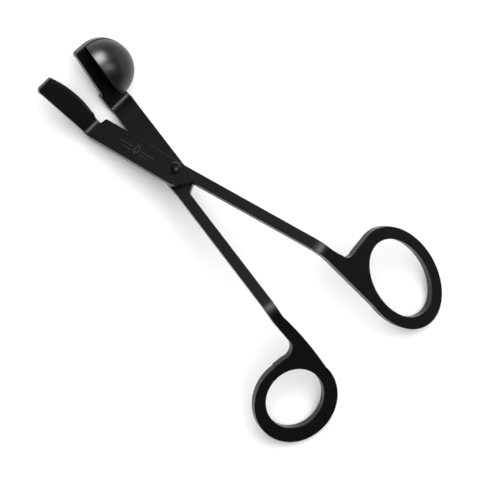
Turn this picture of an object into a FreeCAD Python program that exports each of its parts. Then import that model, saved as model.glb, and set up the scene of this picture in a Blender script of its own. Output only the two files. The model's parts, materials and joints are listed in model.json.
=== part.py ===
import FreeCAD, Part
import math
import os
import Sketcher

# Wick trimmer: two bent steel halves that cross on a rivet, the rear one with a dome
# that catches the trimmed wick. Each piece is modelled against the two flat plates:
# X runs from the heads to the rings, Y across, Z out of the plates, and the pivot axis is Z
# with Z = 0 on the face of the rear plate. One placement then stands the tool on a table.

dimensions = {
    "stock": 3.5,                # thickness of the plates, arms and rings
    "plateGap": 0.3,             # held by the spacer between the plates
    "riseAngle": 15.0,           # slope of the plates when the tool lies on a table
    "armWidth": 4.3,
    "frontArmAngle": 12.4,       # from the long axis
    "rearArmAngle": -10.35,
    "frontArmEdge": -1.35,       # each arm's right edge, from the line through the pivot
    "rearArmEdge": -5.05,
    "frontCorner": 65.4,         # pivot to the sharp corner of the ring bend
    "rearCorner": 67.3,
    "ringBend": 43.0,
    "ringBendRadius": 12.0,      # outside of the bend
    "fingerCentre": 38.0,        # from the corner of the ring bend
    "fingerAcross": 12.2,
    "fingerLong": 47.4,          # the oval over all
    "fingerWide": 32.0,
    "fingerHoleLong": 36.4,
    "fingerHoleWide": 23.6,
    "fingerTurn": -10.2,
    "thumbCentre": 38.1,
    "thumbAcross": -13.5,
    "thumbRadius": 17.2,
    "thumbHoleCentre": 37.1,
    "thumbHoleRadius": 12.0,
    "headBend": 43.0,
    "headBendRadius": 3.5,       # inside of the bend
    "frontHeadCorner": 35.4,     # pivot to the sharp corner of the head bend
    "rearHeadCorner": 35.8,
    "bladeThickness": 2.4,       # and that of its bend, to clear the other head
    "bevelWidth": 1.9,           # on the blade's top, along its cutting edge
    "bevelDepth": 0.8,
    "domeRadius": 12.0,
    "domeWall": 1.2,
    "domeAlong": 14.6,           # from the corner of the head bend
    "domeAcross": 9.0,
    "domeTurn": -2.6,
    "domeSweep": 105.0,          # past upright, so that the mouth overhangs the floor
    "shankRadius": 1.6,
    "runningPlay": 0.05,
    "capRadius": 2.45,
    "capRim": 0.45,
    "capHeight": 1.45,
    "tailRadius": 2.3,
    "tailHeight": 0.9,
    "washerRadius": 3.6,
    "washerThickness": 0.6,
    "spacerRadius": 3.9,
    "spacerThickness": 0.27,
}

doc = FreeCAD.newDocument("WickTrimmer")
sheet = doc.addObject("Spreadsheet::Sheet", "Dims")
for row, (alias, value) in enumerate(dimensions.items(), 1):
    sheet.set("A%d" % row, alias)
    sheet.set("B%d" % row, str(value))
    sheet.setAlias("B%d" % row, alias)
doc.recompute()


def size(alias):
    return float(sheet.get(alias))


def half(angle):
    return math.tan(math.radians(angle) / 2)


def frame(x=0.0, y=0.0, z=0.0, tilt=0.0, turn=0.0):
    """Turned about Z, then moved, then tilted about Y: a positive tilt lowers +X."""
    turned = FreeCAD.Placement(FreeCAD.Vector(), FreeCAD.Rotation(FreeCAD.Vector(0, 0, 1), turn))
    moved = FreeCAD.Placement(FreeCAD.Vector(x, y, z), FreeCAD.Rotation(FreeCAD.Vector(0, 1, 0), tilt))
    return turned.multiply(moved)


# Sketch planes that stand on end: the vertical axis is Z, the horizontal one Y or X.
upright = FreeCAD.Placement(FreeCAD.Vector(), FreeCAD.Rotation(FreeCAD.Vector(1, 1, 1), 120))
onEnd = FreeCAD.Placement(FreeCAD.Vector(), FreeCAD.Rotation(FreeCAD.Vector(1, 0, 0), 90))


def newBody(name):
    body = doc.addObject("PartDesign::Body", name)
    body.Label = name
    return body


def newSketch(body, name, place):
    plane = [item for item in body.Origin.OriginFeatures if item.Role == "XY_Plane"][0]
    sketch = body.newObject("Sketcher::SketchObject", name)
    sketch.AttachmentSupport = [(plane, "")]
    sketch.MapMode = "FlatFace"
    sketch.AttachmentOffset = place
    return sketch


def flat(point):
    return FreeCAD.Vector(point[0], point[1], 0)


def drawOutline(sketch, start, steps):
    """A closed outline. A step is a point, or a pair of points for an arc: through, to."""
    last = start
    first = sketch.GeometryCount
    ends = []
    for step in steps + [start]:
        if isinstance(step[0], tuple):
            through, end = step
            shape = Part.Arc(flat(last), flat(through), flat(end))
        else:
            end = step
            shape = Part.LineSegment(flat(last), flat(end))
        index = sketch.addGeometry(shape, False)
        forward = sketch.getPoint(index, 1).isEqual(flat(last), 1e-6)
        ends.append((1, 2) if forward else (2, 1))
        last = end
    count = len(ends)
    for i in range(count):
        after = (i + 1) % count
        sketch.addConstraint(Sketcher.Constraint(
            "Coincident", first + i, ends[i][1], first + after, ends[after][0]))


def drawBox(sketch, left, low, width, height):
    """A rectangle whose width and height are given as expressions."""
    wide, high = 10.0, 5.0
    corners = [(left, low), (left + wide, low), (left + wide, low + high), (left, low + high)]
    drawOutline(sketch, corners[0], corners[1:])
    for line in (0, 2):
        sketch.addConstraint(Sketcher.Constraint("Horizontal", line))
    for line in (1, 3):
        sketch.addConstraint(Sketcher.Constraint("Vertical", line))
    sketch.addConstraint(Sketcher.Constraint("DistanceX", -1, 1, 0, 1, left))
    sketch.addConstraint(Sketcher.Constraint("DistanceY", -1, 1, 0, 1, low))
    for kind, line, expression in (("DistanceX", 0, width), ("DistanceY", 1, height)):
        start = wide if line == 0 else high
        index = sketch.addConstraint(Sketcher.Constraint(kind, line, 1, line, 2, start))
        sketch.setExpression("Constraints[%d]" % index, expression)


def drawCircle(sketch, x, y, radius):
    line = sketch.addGeometry(Part.Circle(FreeCAD.Vector(x, y, 0), FreeCAD.Vector(0, 0, 1), 5), False)
    index = sketch.addConstraint(Sketcher.Constraint("Radius", line, 5))
    sketch.setExpression("Constraints[%d]" % index, radius)
    sketch.addConstraint(Sketcher.Constraint("DistanceX", -1, 1, line, 3, x))
    sketch.addConstraint(Sketcher.Constraint("DistanceY", -1, 1, line, 3, y))


def drawOval(sketch, longAxis, wideAxis):
    """An ellipse about the sketch's origin, its long axis along the sketch's X."""
    oval = sketch.addGeometry(Part.Ellipse(FreeCAD.Vector(), 10, 5), False)
    sketch.exposeInternalGeometry(oval)
    sketch.addConstraint(Sketcher.Constraint("Coincident", oval, 3, -1, 1))
    sketch.addConstraint(Sketcher.Constraint("Horizontal", oval + 1))
    for line, start, expression in ((oval + 1, 20, longAxis), (oval + 2, 10, wideAxis)):
        index = sketch.addConstraint(Sketcher.Constraint("Distance", line, start))
        sketch.setExpression("Constraints[%d]" % index, expression)


def pad(body, sketch, length, down=False):
    feature = body.newObject("PartDesign::Pad", sketch.Name + "_pad")
    feature.Profile = sketch
    feature.setExpression("Length", length)
    feature.Reversed = down
    return feature


def cut(body, sketch):
    """Right through, both ways."""
    feature = body.newObject("PartDesign::Pocket", sketch.Name + "_cut")
    feature.Profile = sketch
    feature.Type = 1
    feature.Midplane = True
    return feature


def grind(body, headPlane, start, through, end):
    """Slope the top face down to a curved cutting edge, over the edge's own stretch."""
    edge = Part.Circle(flat(start), flat(through), flat(end))
    first, last = flat(start) - edge.Center, flat(end) - edge.Center
    outward = first + last
    turn = math.degrees(math.atan2(outward.y, outward.x))
    hub = FreeCAD.Placement(edge.Center, FreeCAD.Rotation(FreeCAD.Vector(0, 0, 1), turn))
    section = newSketch(body, "bevelSection", headPlane.multiply(hub).multiply(onEnd))
    width, depth = size("bevelWidth"), size("bevelDepth")
    over = 0.5  # the cut runs out past both faces by this share of the bevel
    inside = edge.Radius - (1 + over) * width
    outside = edge.Radius + over * width
    drawOutline(section, (inside, over * depth), [
        (outside, over * depth), (outside, -(1 + over) * depth)])
    groove = body.newObject("PartDesign::Groove", "cuttingBevel")
    groove.Profile = section
    groove.ReferenceAxis = (section, ["V_Axis"])
    groove.Angle = math.degrees(first.getAngle(last))
    groove.Midplane = True


def turnAbout(body, sketch, angle, axis="H_Axis"):
    feature = body.newObject("PartDesign::Revolution", sketch.Name + "_turn")
    feature.Profile = sketch
    feature.ReferenceAxis = (sketch, [axis])
    feature.setExpression("Angle", angle)
    return feature


def buildArm(body, side, top, neck, bow=None):
    """Arm, ring bend and the flat neck of the ring, whose left edge bows through a point."""
    angle = size(side + "ArmAngle")
    corner = size(side + "Corner")
    edge = size(side + "ArmEdge")
    radius = size("ringBendRadius")
    straight = radius * half(size("ringBend"))
    arm = newSketch(body, side + "Arm", frame(z=top, turn=angle))
    length = "Dims.%sCorner - Dims.ringBendRadius * tan(Dims.ringBend * 0.5deg)" % side
    drawBox(arm, 0, edge, length, "Dims.armWidth")
    pad(body, arm, "Dims.stock", down=True)
    bendPlane = frame(corner - straight, 0, top - radius, turn=angle).multiply(upright)
    section = newSketch(body, side + "RingBend", bendPlane)
    drawBox(section, edge, radius - size("stock"), "Dims.armWidth", "Dims.stock")
    turnAbout(body, section, "Dims.ringBend")
    ringPlane = frame(corner, 0, top, tilt=size("ringBend"), turn=angle)
    plate = newSketch(body, side + "Neck", ringPlane)
    foot = (straight, edge)
    shoulder = (straight, edge + size("armWidth"))
    drawOutline(plate, foot, neck + [(bow, shoulder) if bow else shoulder])
    pad(body, plate, "Dims.stock", down=True)
    return ringPlane


def buildHeadBend(body, side, top, low, high, stock):
    radius = size("headBendRadius")
    straight = radius * half(size("headBend"))
    bendPlane = frame(straight - size(side + "HeadCorner"), 0, top + radius).multiply(upright)
    section = newSketch(body, side + "HeadBend", bendPlane)
    corners = [(low, -radius - stock), (high, -radius - stock), (high, -radius), (low, -radius)]
    drawOutline(section, corners[0], corners[1:])
    turnAbout(body, section, "Dims.headBend")
    return frame(-size(side + "HeadCorner"), 0, top, tilt=size("headBend"))


def buildFront():
    body = newBody("front_half")
    top = size("plateGap") + size("stock")
    bendStart = size("headBendRadius") * half(size("headBend"))
    outer, inner = -13.2, -6.1
    plateEnd = bendStart - size("frontHeadCorner")
    plate = newSketch(body, "frontPlate", frame(z=top))
    drawOutline(plate, (plateEnd, outer), [
        (1.8, -6.0), ((4.4, -5.15), (6.0, -3.4)), (8.3, 0.8), (8.1, 4.45), (2.3, 3.45),
        (-24.8, -1.5), (-33.0, -3.3), ((-33.7, -3.9), (-33.8, -4.6)),
        ((-33.9, -5.6), (plateEnd, inner))])
    pad(body, plate, "Dims.stock", down=True)
    # The neck widens on its outer side into the flat near edge of the oval.
    ringPlane = buildArm(body, "front", top, [
        (38.6, -3.7), (38.0, 12.2), (14.7, 16.2), (13.5, 8.0), ((12.6, 5.0), (9.8, 3.9)), (7.6, 3.4)])
    centre = frame(size("fingerCentre"), size("fingerAcross"), 0)
    ovalPlane = ringPlane.multiply(centre).multiply(frame(turn=size("fingerTurn")))
    oval = newSketch(body, "fingerRing", ovalPlane)
    drawOval(oval, "Dims.fingerLong", "Dims.fingerWide")
    pad(body, oval, "Dims.stock", down=True)
    hole = newSketch(body, "fingerHole", ovalPlane)
    drawOval(hole, "Dims.fingerHoleLong", "Dims.fingerHoleWide")
    cut(body, hole)
    headPlane = buildHeadBend(body, "front", top, outer, inner, size("bladeThickness"))
    blade = newSketch(body, "blade", headPlane)
    tip, bulge, heel = (-26.3, -9.2), (-14.4, -5.8), (-4.0, -5.4)
    drawOutline(blade, (-bendStart, outer), [
        (-23.6, -16.05), ((-25.6, -15.9), (-26.3, -14.6)), tip,
        (bulge, heel), (-2.2, -5.9), (-bendStart, inner)])
    pad(body, blade, "Dims.bladeThickness", down=True)
    grind(body, headPlane, tip, bulge, heel)
    pivot = newSketch(body, "frontPivotHole", frame(z=top))
    drawCircle(pivot, 0, 0, "Dims.shankRadius + Dims.runningPlay")
    cut(body, pivot)
    return body


def buildRear():
    body = newBody("rear_half")
    bendStart = size("headBendRadius") * half(size("headBend"))
    left, right = 1.1, 10.6
    plateEnd = bendStart - size("rearHeadCorner")
    plate = newSketch(body, "rearPlate", frame())
    drawOutline(plate, (plateEnd, left), [
        (2.0, -5.9), (7.5, -6.5), (10.1, -2.6), (8.4, 0.95), ((7.5, 2.65), (5.4, 3.3)), (plateEnd, right)])
    pad(body, plate, "Dims.stock", down=True)
    ringPlane = buildArm(body, "rear", 0.0, [
        (16.4, -3.5), ((19.6, -5.2), (20.3, -8.9)), (20.5, -13.5), (38.1, -13.5), (37.0, 3.2)], (17.8, 1.7))
    ring = newSketch(body, "thumbRing", ringPlane)
    drawCircle(ring, size("thumbCentre"), size("thumbAcross"), "Dims.thumbRadius")
    pad(body, ring, "Dims.stock", down=True)
    hole = newSketch(body, "thumbHole", ringPlane)
    drawCircle(hole, size("thumbHoleCentre"), size("thumbAcross"), "Dims.thumbHoleRadius")
    cut(body, hole)
    headPlane = buildHeadBend(body, "rear", 0.0, left, right, size("stock"))
    floor = newSketch(body, "domeFloor", headPlane)
    drawOutline(floor, (-bendStart, left), [
        (-6.6, 1.3), (-7.6, 2.3), (-25.4, 4.3), ((-26.9, 4.8), (-27.2, 6.1)),
        (-26.9, 10.0), ((-15.2, 21.1), (-3.4, 12.9)), (-bendStart, right)])
    pad(body, floor, "Dims.stock", down=True)
    pivot = newSketch(body, "rearPivotHole", frame())
    drawCircle(pivot, 0, 0, "Dims.shankRadius")
    cut(body, pivot)
    return body


def buildDome():
    body = newBody("catch_dome")
    centre = frame(-size("rearHeadCorner"), 0, 0, tilt=size("headBend")).multiply(
        frame(-size("domeAlong"), size("domeAcross"), 0)).multiply(frame(turn=size("domeTurn")))
    shell = newSketch(body, "domeShell", centre)
    outer = size("domeRadius")
    inner = outer - size("domeWall")
    drawOutline(shell, (-outer, 0), [((0, outer), (outer, 0)), (inner, 0), ((0, inner), (-inner, 0))])
    turnAbout(body, shell, "Dims.domeSweep")
    return body


def buildTurned(name, base, start, steps):
    """A piece turned about the pivot axis, from a half section: radius, height."""
    body = newBody(name)
    section = newSketch(body, name + "_section", frame(z=base).multiply(onEnd))
    drawOutline(section, start, steps)
    turnAbout(body, section, "360deg", "V_Axis")
    return body


def crownMiddle(radius, rise):
    """Halfway along a round crown's section: distance from the axis, height over its rim."""
    ball = (radius ** 2 + rise ** 2) / (2 * rise)
    lean = math.asin(radius / ball) / 2
    return ball * math.sin(lean), rise - ball * (1 - math.cos(lean))


def buildRivet():
    shank, cap, tail = size("shankRadius"), size("capRadius"), size("tailRadius")
    back = -size("stock") - size("washerThickness")
    seat = size("plateGap") + size("stock") + size("runningPlay")
    rim = seat + size("capRim")
    crown = seat + size("capHeight")
    capSide, capRise = crownMiddle(cap, crown - rim)
    tailSide, tailRise = crownMiddle(tail, size("tailHeight"))
    return buildTurned("pivot_rivet", 0.0, (0, back - size("tailHeight")), [
        ((tailSide, back - tailRise), (tail, back)), (shank, back), (shank, seat), (cap, seat),
        (cap, rim), ((capSide, rim + capRise), (0, crown))])


def buildRing(name, base, outer, thickness):
    inner = size("shankRadius") + size("runningPlay")
    return buildTurned(name, base, (inner, 0), [
        (size(outer), 0), (size(outer), size(thickness)), (inner, size(thickness))])


pieces = [
    buildRear(),
    buildFront(),
    buildDome(),
    buildRivet(),
    buildRing("tail_washer", -size("stock") - size("washerThickness"), "washerRadius", "washerThickness"),
    buildRing("pivot_spacer", 0.0, "spacerRadius", "spacerThickness"),
]
doc.recompute()

# Stand the tool on its lowest points, centred over the origin.
rise = FreeCAD.Rotation(FreeCAD.Vector(0, 1, 0), -size("riseAngle"))
lying = FreeCAD.Placement(FreeCAD.Vector(), rise)
for piece in pieces:
    piece.Placement = lying
doc.recompute()
box = FreeCAD.BoundBox()
for piece in pieces:
    box.add(piece.Shape.BoundBox)
lying.Base = FreeCAD.Vector(-box.Center.x, -box.Center.y, -box.ZMin)
for piece in pieces:
    piece.Placement = lying
doc.recompute()

for item in doc.Objects:
    if "Invalid" in item.State or "Error" in item.State:
        raise RuntimeError("%s failed: %s" % (item.Name, item.State))
os.makedirs("parts", exist_ok=True)
for piece in pieces:
    shape = piece.Shape
    if shape.isNull() or not shape.isValid() or len(shape.Solids) != 1:
        raise RuntimeError(piece.Label + " is not one valid solid")
    shape.exportStep("parts/" + piece.Label + ".step")
    print(piece.Label, "volume %.1f" % shape.Volume, "lowest %.3f" % shape.BoundBox.ZMin)
print("pivot", [round(value, 3) for value in lying.Base], "size", [
    round(value, 2) for value in (box.XLength, box.YLength, box.ZLength)])
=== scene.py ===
import json
import math

import bpy
from mathutils import Matrix, Vector


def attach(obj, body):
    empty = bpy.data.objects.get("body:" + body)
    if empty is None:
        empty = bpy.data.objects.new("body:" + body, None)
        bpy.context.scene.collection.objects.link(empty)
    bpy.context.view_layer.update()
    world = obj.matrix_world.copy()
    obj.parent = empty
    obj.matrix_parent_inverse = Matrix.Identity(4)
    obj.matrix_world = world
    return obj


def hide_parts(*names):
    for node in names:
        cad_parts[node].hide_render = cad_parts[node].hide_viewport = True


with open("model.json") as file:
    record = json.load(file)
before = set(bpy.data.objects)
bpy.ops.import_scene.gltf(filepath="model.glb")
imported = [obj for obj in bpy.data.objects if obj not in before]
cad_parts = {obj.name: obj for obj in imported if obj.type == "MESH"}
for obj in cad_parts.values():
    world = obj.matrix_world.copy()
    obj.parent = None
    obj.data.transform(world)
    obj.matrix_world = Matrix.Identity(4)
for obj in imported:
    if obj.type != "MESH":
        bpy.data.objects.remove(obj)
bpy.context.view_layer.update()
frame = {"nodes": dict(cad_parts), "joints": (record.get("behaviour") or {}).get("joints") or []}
mm = 0.001
noiseMiddle = 0.5
print("frame loaded:", sorted(frame["nodes"]))


# working on one piece at a time
def pickOnly(piece):
    bpy.ops.object.select_all(action="DESELECT")
    piece.select_set(True)
    bpy.context.view_layer.objects.active = piece


def startEditing(piece):
    pickOnly(piece)
    bpy.ops.object.mode_set(mode="EDIT")
    bpy.ops.mesh.select_all(action="SELECT")


def stopEditing():
    bpy.ops.object.mode_set(mode="OBJECT")


def modify(piece, kind, **settings):
    pickOnly(piece)
    modifier = piece.modifiers.new(kind.title(), kind)
    for key, value in settings.items():
        setattr(modifier, key, value)
    bpy.ops.object.modifier_apply(modifier=modifier.name)


def settle(piece):
    # the place goes into the mesh, so the object itself sits at the origin
    pickOnly(piece)
    bpy.ops.object.transform_apply(location=True, rotation=True, scale=True)


class Shade:
    # a node's output; sums, differences and products on it add Math nodes
    def __init__(self, finish, socket):
        self.finish = finish
        self.socket = socket

    def math(self, operation, first, second):
        return self.finish.add("ShaderNodeMath", {"operation": operation}, {0: first, 1: second})

    def __add__(self, other):
        return self.math("ADD", self, other)

    def __radd__(self, other):
        return self.math("ADD", other, self)

    def __sub__(self, other):
        return self.math("SUBTRACT", self, other)

    def __mul__(self, other):
        return self.math("MULTIPLY", self, other)


class Finish:
    def __init__(self, name):
        self.material = bpy.data.materials.new(name)
        self.material.use_nodes = True
        self.tree = self.material.node_tree
        self.tree.nodes.clear()

    def add(self, kind, settings=None, values=None, output=0):
        node = self.tree.nodes.new(kind)
        for key, value in (settings or {}).items():
            if key == "stops":
                ramp = node.color_ramp
                for element, (position, level) in zip(ramp.elements, value):
                    element.position = position
                    element.color = (level, level, level, 1)
            else:
                setattr(node, key, value)
        for key, value in (values or {}).items():
            if isinstance(value, Shade):
                self.tree.links.new(value.socket, node.inputs[key])
            else:
                node.inputs[key].default_value = value
        return Shade(self, node.outputs[output] if node.outputs else None)

    def noise(self, place, scale, detail=2.0, roughness=0.5):
        return self.add("ShaderNodeTexNoise", None, {
            "Vector": place, "Scale": scale, "Detail": detail, "Roughness": roughness})

    def stretch(self, place, scale):
        return self.add("ShaderNodeMapping", None, {"Vector": place, "Scale": scale})

    def ramp(self, value, low, high):
        return self.add("ShaderNodeValToRGB", {"stops": [low, high]}, {"Fac": value})

    def blend(self, amount, first, second):
        return self.add("ShaderNodeMix", {"data_type": "RGBA"}, {
            "Factor": amount, 6: first, 7: second}, output=2)

    def surface(self, values):
        shader = self.add("ShaderNodeBsdfPrincipled", None, values)
        self.add("ShaderNodeOutputMaterial", None, {"Surface": shader})


def gray(level, warm=0.0):
    return (level * (1 + warm), level, level * (1 - warm), 1)


def makeCoat(name, look):
    # powder coat: a fine pebbled skin that flows a little unevenly
    finish = Finish(name)
    place = finish.add("ShaderNodeTexCoord", output="Object")
    pebble = finish.noise(place, look["pebbleScale"], *look["pebbleDetail"])
    flow = finish.noise(place, look["flowScale"], *look["flowDetail"])
    rub = finish.noise(place, look["rubScale"], *look["rubDetail"])
    rubbed = finish.ramp(rub, (look["rubStart"], 0.0), (look["rubFull"], 1.0))
    worn = rubbed * look["rubShare"] + flow * look["flowShare"]
    colour = finish.blend(worn, gray(look["level"]), gray(look["rubLevel"]))
    rough = (look["roughness"] + (pebble - noiseMiddle) * look["pebbleRough"]
             + (flow - noiseMiddle) * look["flowRough"] - rubbed * look["rubPolish"])
    bump = finish.add("ShaderNodeBump", None, {
        "Strength": look["bumpStrength"], "Distance": look["bumpDepth"],
        "Height": pebble + flow * look["flowHeight"]})
    finish.surface({
        "Base Color": colour, "Roughness": rough, "Normal": bump,
        "IOR": look["ior"], "Specular IOR Level": look["specular"]})
    return finish.material


def makeSteel(name, look):
    # bare steel: a fine grain under a dull oil film
    finish = Finish(name)
    place = finish.add("ShaderNodeTexCoord", output="Object")
    drawn = finish.stretch(place, look["stretch"])
    grain = finish.noise(drawn, look["grainScale"], *look["grainDetail"])
    film = finish.noise(place, look["filmScale"], *look["filmDetail"])
    colour = finish.blend(film, gray(look["level"], look["warm"]), gray(look["filmLevel"], look["filmWarm"]))
    bump = finish.add("ShaderNodeBump", None, {
        "Strength": look["bumpStrength"], "Distance": look["bumpDepth"], "Height": grain})
    finish.surface({
        "Base Color": colour, "Roughness": look["roughness"] + (grain - noiseMiddle) * look["grainRough"],
        "Metallic": 1.0, "Normal": bump})
    return finish.material


coatLook = {
    "level": 0.0012, "rubLevel": 0.0032, "rubShare": 0.35, "flowShare": 0.3,
    "roughness": 0.31, "pebbleRough": 0.10, "flowRough": 0.08, "rubPolish": 0.03,
    "ior": 1.41, "specular": 0.5,
    "pebbleScale": 2600.0, "pebbleDetail": (3.0, 0.55),
    "flowScale": 260.0, "flowDetail": (2.0, 0.5), "flowHeight": 2.0,
    "rubScale": 90.0, "rubDetail": (4.0, 0.6), "rubStart": 0.55, "rubFull": 0.78,
    "bumpStrength": 0.22, "bumpDepth": 0.00003,
}
domeLook = dict(coatLook, roughness=0.36, rubShare=0.2, bumpStrength=0.14)
rivetLook = dict(coatLook, roughness=0.33, rubShare=0.5, bumpStrength=0.16, pebbleScale=3400.0)
markLook = dict(coatLook, level=0.03, rubLevel=0.05, roughness=0.45)   # worn by wiping
steelLook = {
    "level": 0.34, "warm": 0.02, "filmLevel": 0.16, "filmWarm": 0.04,
    "roughness": 0.34, "grainRough": 0.2,
    "grainScale": 900.0, "grainDetail": (3.0, 0.6), "filmScale": 240.0, "filmDetail": (3.0, 0.5),
    "stretch": (1.0, 1.0, 6.0), "bumpStrength": 0.2, "bumpDepth": 0.00002,
}
coat = makeCoat("powderCoat", coatLook)
domeCoat = makeCoat("domeCoat", domeLook)
rivetCoat = makeCoat("rivetCoat", rivetLook)
markCoat = makeCoat("markCoat", markLook)
spacerSteel = makeSteel("spacerSteel", steelLook)
print("finishes made")


def softened(name, piece, finish):
    # a copy of the CAD piece, its edges rounded as coated steel's are
    source = frame["nodes"][piece["node"]]
    copy = bpy.data.objects.new(name, source.data.copy())
    bpy.context.scene.collection.objects.link(copy)
    pickOnly(copy)
    bpy.ops.mesh.customdata_custom_splitnormals_clear()
    startEditing(copy)
    bpy.ops.mesh.remove_doubles(threshold=piece["weld"])
    if piece["flatten"]:
        bpy.ops.mesh.dissolve_limited(angle_limit=math.radians(piece["flatten"]))
    stopEditing()
    modify(copy, "BEVEL", width=piece["edge"] * mm, segments=piece["segments"], limit_method="ANGLE",
           angle_limit=math.radians(piece["edgeAngle"]), use_clamp_overlap=False)
    bpy.ops.object.shade_smooth_by_angle(angle=math.radians(piece["smoothAngle"]))
    modify(copy, "WEIGHTED_NORMAL", mode="FACE_AREA", keep_sharp=True)
    copy.data.materials.clear()
    copy.data.materials.append(finish)
    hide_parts(piece["node"])
    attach(copy, piece["body"])
    print(name, "faces", len(copy.data.polygons))
    return copy


rearPiece = {
    "node": "rear_half", "body": "rear", "slot": "coated_steel",
    "edge": 0.32, "edgeAngle": 40, "segments": 3, "flatten": 0.4, "smoothAngle": 35,
    "weld": 1e-6,
}
frontPiece = dict(rearPiece, node="front_half", body="front", edge=0.3)
domePiece = dict(rearPiece, node="catch_dome", slot="dome_coat", edge=0.3, flatten=0)
rivetPiece = dict(rearPiece, node="pivot_rivet", slot="rivet_coat", edge=0.12, flatten=0)
washerPiece = dict(rivetPiece, node="tail_washer", edge=0.1)
spacerPiece = dict(rivetPiece, node="pivot_spacer", slot="spacer_steel", edge=0.04)

rearHalf = softened("rearHalf", rearPiece, coat)
frontHalf = softened("frontHalf", frontPiece, coat)
catchDome = softened("catchDome", domePiece, domeCoat)
pivotRivet = softened("pivotRivet", rivetPiece, rivetCoat)
tailWasher = softened("tailWasher", washerPiece, rivetCoat)
pivotSpacer = softened("pivotSpacer", spacerPiece, spacerSteel)
print("pieces softened")


# a small raised candle flame between pairs of rules, on top of the front plate
mark = {
    "centre": (-16.0, -4.6), "turn": 9.6, "plateTop": 3.8, "sunk": 0.06,
    "wire": 0.17, "wireSides": 2, "curveSteps": 5, "weld": 1e-7, "smoothAngle": 60,
    "flame": [
        (0, 2.5), (0.8, 1.0), (1.05, -0.2), (0.55, -1.2),
        (-0.55, -1.2), (-1.05, -0.2), (-0.65, 0.9)],
    "wick": [(0, -0.3), (0.15, -0.9), (0, -1.5), (0, -2.1)],
    "rules": [
        ((-7.6, 0.3), (-2.0, 0.3)), ((2.0, 0.3), (7.6, 0.3)),
        ((-5.4, -1.2), (-2.0, -1.2)), ((2.0, -1.2), (5.4, -1.2))],
}


def drawWire(points, closed=False):
    wire = bpy.data.curves.new("wire", "CURVE")
    wire.dimensions = "3D"
    wire.bevel_depth = mark["wire"] * mm
    wire.bevel_resolution = mark["wireSides"]
    wire.resolution_u = mark["curveSteps"]
    wire.use_fill_caps = True
    line = wire.splines.new("NURBS")
    line.points.add(len(points) - 1)
    for spot, (x, y) in zip(line.points, points):
        spot.co = (x * mm, y * mm, 0, 1)
    line.use_cyclic_u = closed
    line.order_u = min(3, len(points))
    line.use_endpoint_u = not closed
    stroke = bpy.data.objects.new("wire", wire)
    bpy.context.scene.collection.objects.link(stroke)
    pickOnly(stroke)
    bpy.ops.object.convert(target="MESH")
    return bpy.context.active_object


def makeFlameMark():
    strokes = [drawWire(mark["flame"], closed=True), drawWire(mark["wick"])]
    strokes += [drawWire(rule) for rule in mark["rules"]]
    bpy.ops.object.select_all(action="DESELECT")
    for stroke in strokes:
        stroke.select_set(True)
    bpy.context.view_layer.objects.active = strokes[0]
    bpy.ops.object.join()
    flameMark = bpy.context.active_object
    flameMark.name = "flameMark"
    hinge = frame["joints"][0]
    up = Vector(hinge["axis"])
    slope = Matrix((Vector((up.z, 0, -up.x)), Vector((0, 1, 0)), up)).transposed().to_4x4()
    x, y = mark["centre"]
    place = Matrix.Translation(Vector((x, y, mark["plateTop"] - mark["sunk"])) * mm)
    flameMark.matrix_world = (Matrix.Translation(Vector(hinge["pos_m"])) @ slope @ place
                              @ Matrix.Rotation(math.radians(mark["turn"]), 4, "Z"))
    settle(flameMark)
    startEditing(flameMark)
    bpy.ops.mesh.remove_doubles(threshold=mark["weld"])
    bpy.ops.mesh.normals_make_consistent(inside=False)
    stopEditing()
    bpy.ops.object.shade_smooth_by_angle(angle=math.radians(mark["smoothAngle"]))
    flameMark.data.materials.clear()
    flameMark.data.materials.append(markCoat)
    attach(flameMark, "front")


makeFlameMark()
print("flame mark laid on the plate")


# studio: one wide soft lamp lights the floor, and four softboxes show only in the gloss
floorLook = {
    "size": 6.0, "drop": 0.05, "level": 0.93, "roughness": 0.7, "grainRough": 0.1,
    "grainScale": 900.0, "grainDetail": 2.0, "bumpStrength": 0.05, "bumpDepth": 0.0001,
}
studio = {
    "wash": {
        "from": (-0.05, 0.20, 0.97), "distance": 1.3, "size": (2.2, 2.2), "power": 44.0,
        "gloss": False},
    "key": {
        "from": (-0.63, 0.18, 0.75), "distance": 1.0, "size": (0.60, 0.60), "power": 32.0,
        "flood": False, "only": ("catchDome",)},
    "top": {
        "from": (0.12, 0.17, 0.97), "distance": 0.8, "size": (0.16, 0.5), "power": 2.9,
        "flood": False},
    "fill": {
        "from": (-0.34, 0.17, 0.90), "distance": 0.9, "size": (0.5, 0.5), "power": 0.50,
        "flood": False},
    "side": {
        "from": (0.25, 0.90, 0.34), "distance": 1.0, "size": (1.3, 0.36), "power": 2.2,
        "flood": False},
    "backdrop": 0.92,
    "horizon": 0.75,   # brightness of the surroundings: low down, part way up, overhead
    "middle": 0.07, "middleHeight": 0.36,
    "zenith": 0.03,
}


def makeFloor():
    finish = Finish("paleFloor")
    place = finish.add("ShaderNodeTexCoord", output="Object")
    grain = finish.noise(place, floorLook["grainScale"], floorLook["grainDetail"])
    bump = finish.add("ShaderNodeBump", None, {
        "Strength": floorLook["bumpStrength"], "Distance": floorLook["bumpDepth"], "Height": grain})
    rough = floorLook["roughness"] + (grain - noiseMiddle) * floorLook["grainRough"]
    finish.surface({"Base Color": gray(floorLook["level"]), "Roughness": rough, "Normal": bump})
    bpy.ops.object.select_all(action="DESELECT")
    bpy.ops.mesh.primitive_plane_add(size=floorLook["size"], location=(0, 0, -floorLook["drop"] * mm))
    floor = bpy.context.active_object
    floor.name = "floor"
    settle(floor)
    floor.data.materials.append(finish.material)


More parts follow.
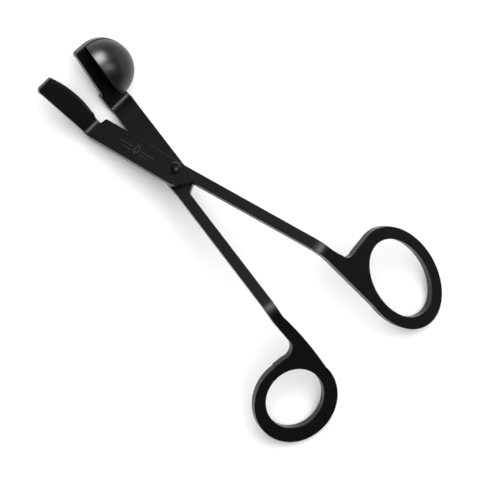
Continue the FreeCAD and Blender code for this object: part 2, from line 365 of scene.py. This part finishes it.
def makeLamp(name, lampLook):
    towards = Vector(lampLook["from"]).normalized()
    bpy.ops.object.light_add(type="AREA", location=towards * lampLook["distance"])
    lamp = bpy.context.active_object
    lamp.name = name
    lamp.rotation_mode = "QUATERNION"
    lamp.rotation_quaternion = towards.to_track_quat("Z", "Y")
    lamp.data.shape = "RECTANGLE"
    lamp.data.size, lamp.data.size_y = lampLook["size"]
    lamp.data.energy = lampLook["power"]
    lamp.visible_camera = False
    lamp.visible_glossy = lampLook.get("gloss", True)
    lamp.visible_diffuse = lampLook.get("flood", True)
    if "only" in lampLook:
        # it lights these pieces alone, because the flat plates would mirror it whole
        lit = bpy.data.collections.new(name + "Receivers")
        for piece in lampLook["only"]:
            lit.objects.link(bpy.data.objects[piece])
        lamp.light_linking.receiver_collection = lit


def makeSurroundings():
    # seen directly it is a pale backdrop; in the coat it is bright near the floor and dark above
    world = bpy.data.worlds.new("studio")
    bpy.context.scene.world = world
    world.use_nodes = True
    nodes, links = world.node_tree.nodes, world.node_tree.links
    nodes.clear()
    place = nodes.new("ShaderNodeTexCoord")
    split = nodes.new("ShaderNodeSeparateXYZ")
    ramp = nodes.new("ShaderNodeValToRGB")
    stops = [
        (0.0, studio["horizon"]), (studio["middleHeight"], studio["middle"]), (1.0, studio["zenith"])]
    ramp.color_ramp.elements.new(studio["middleHeight"])
    for element, (height, level) in zip(ramp.color_ramp.elements, stops):
        element.position = height
        element.color = gray(level)
    dim = nodes.new("ShaderNodeBackground")
    pale = nodes.new("ShaderNodeBackground")
    pale.inputs["Color"].default_value = gray(studio["backdrop"])
    path = nodes.new("ShaderNodeLightPath")
    mix = nodes.new("ShaderNodeMixShader")
    out = nodes.new("ShaderNodeOutputWorld")
    links.new(place.outputs["Generated"], split.inputs["Vector"])
    links.new(split.outputs["Z"], ramp.inputs["Fac"])
    links.new(ramp.outputs["Color"], dim.inputs["Color"])
    links.new(path.outputs["Is Camera Ray"], mix.inputs["Fac"])
    links.new(dim.outputs["Background"], mix.inputs[1])
    links.new(pale.outputs["Background"], mix.inputs[2])
    links.new(mix.outputs["Shader"], out.inputs["Surface"])


makeFloor()
makeSurroundings()
for lampName in ("wash", "key", "top", "fill", "side"):
    makeLamp(lampName, studio[lampName])
bpy.context.scene.view_settings.view_transform = "Standard"
print("studio lit")


# camera: nearly overhead, leaning back over -Y, turned so that the tool lies corner to corner
shot = {
    "aim": (10.28, 0.59, 0.0), "distance": 900.0, "lean": 10.0, "turn": 44.5, "field": 11.875,
    "sensor": 36.0, "nearest": 0.01, "farthest": 20.0,
}
lean = Matrix.Rotation(math.radians(shot["lean"]), 3, "X")
facing = lean @ Matrix.Rotation(math.radians(shot["turn"]), 3, "Z")
bpy.ops.object.camera_add()
camera = bpy.context.active_object
camera.rotation_mode = "QUATERNION"
camera.rotation_quaternion = facing.to_quaternion()
camera.location = (Vector(shot["aim"]) + facing.col[2] * shot["distance"]) * mm
camera.data.sensor_width = shot["sensor"]
camera.data.lens = shot["sensor"] / 2 / math.tan(math.radians(shot["field"] / 2))
camera.data.clip_start = shot["nearest"]
camera.data.clip_end = shot["farthest"]
bpy.context.scene.camera = camera
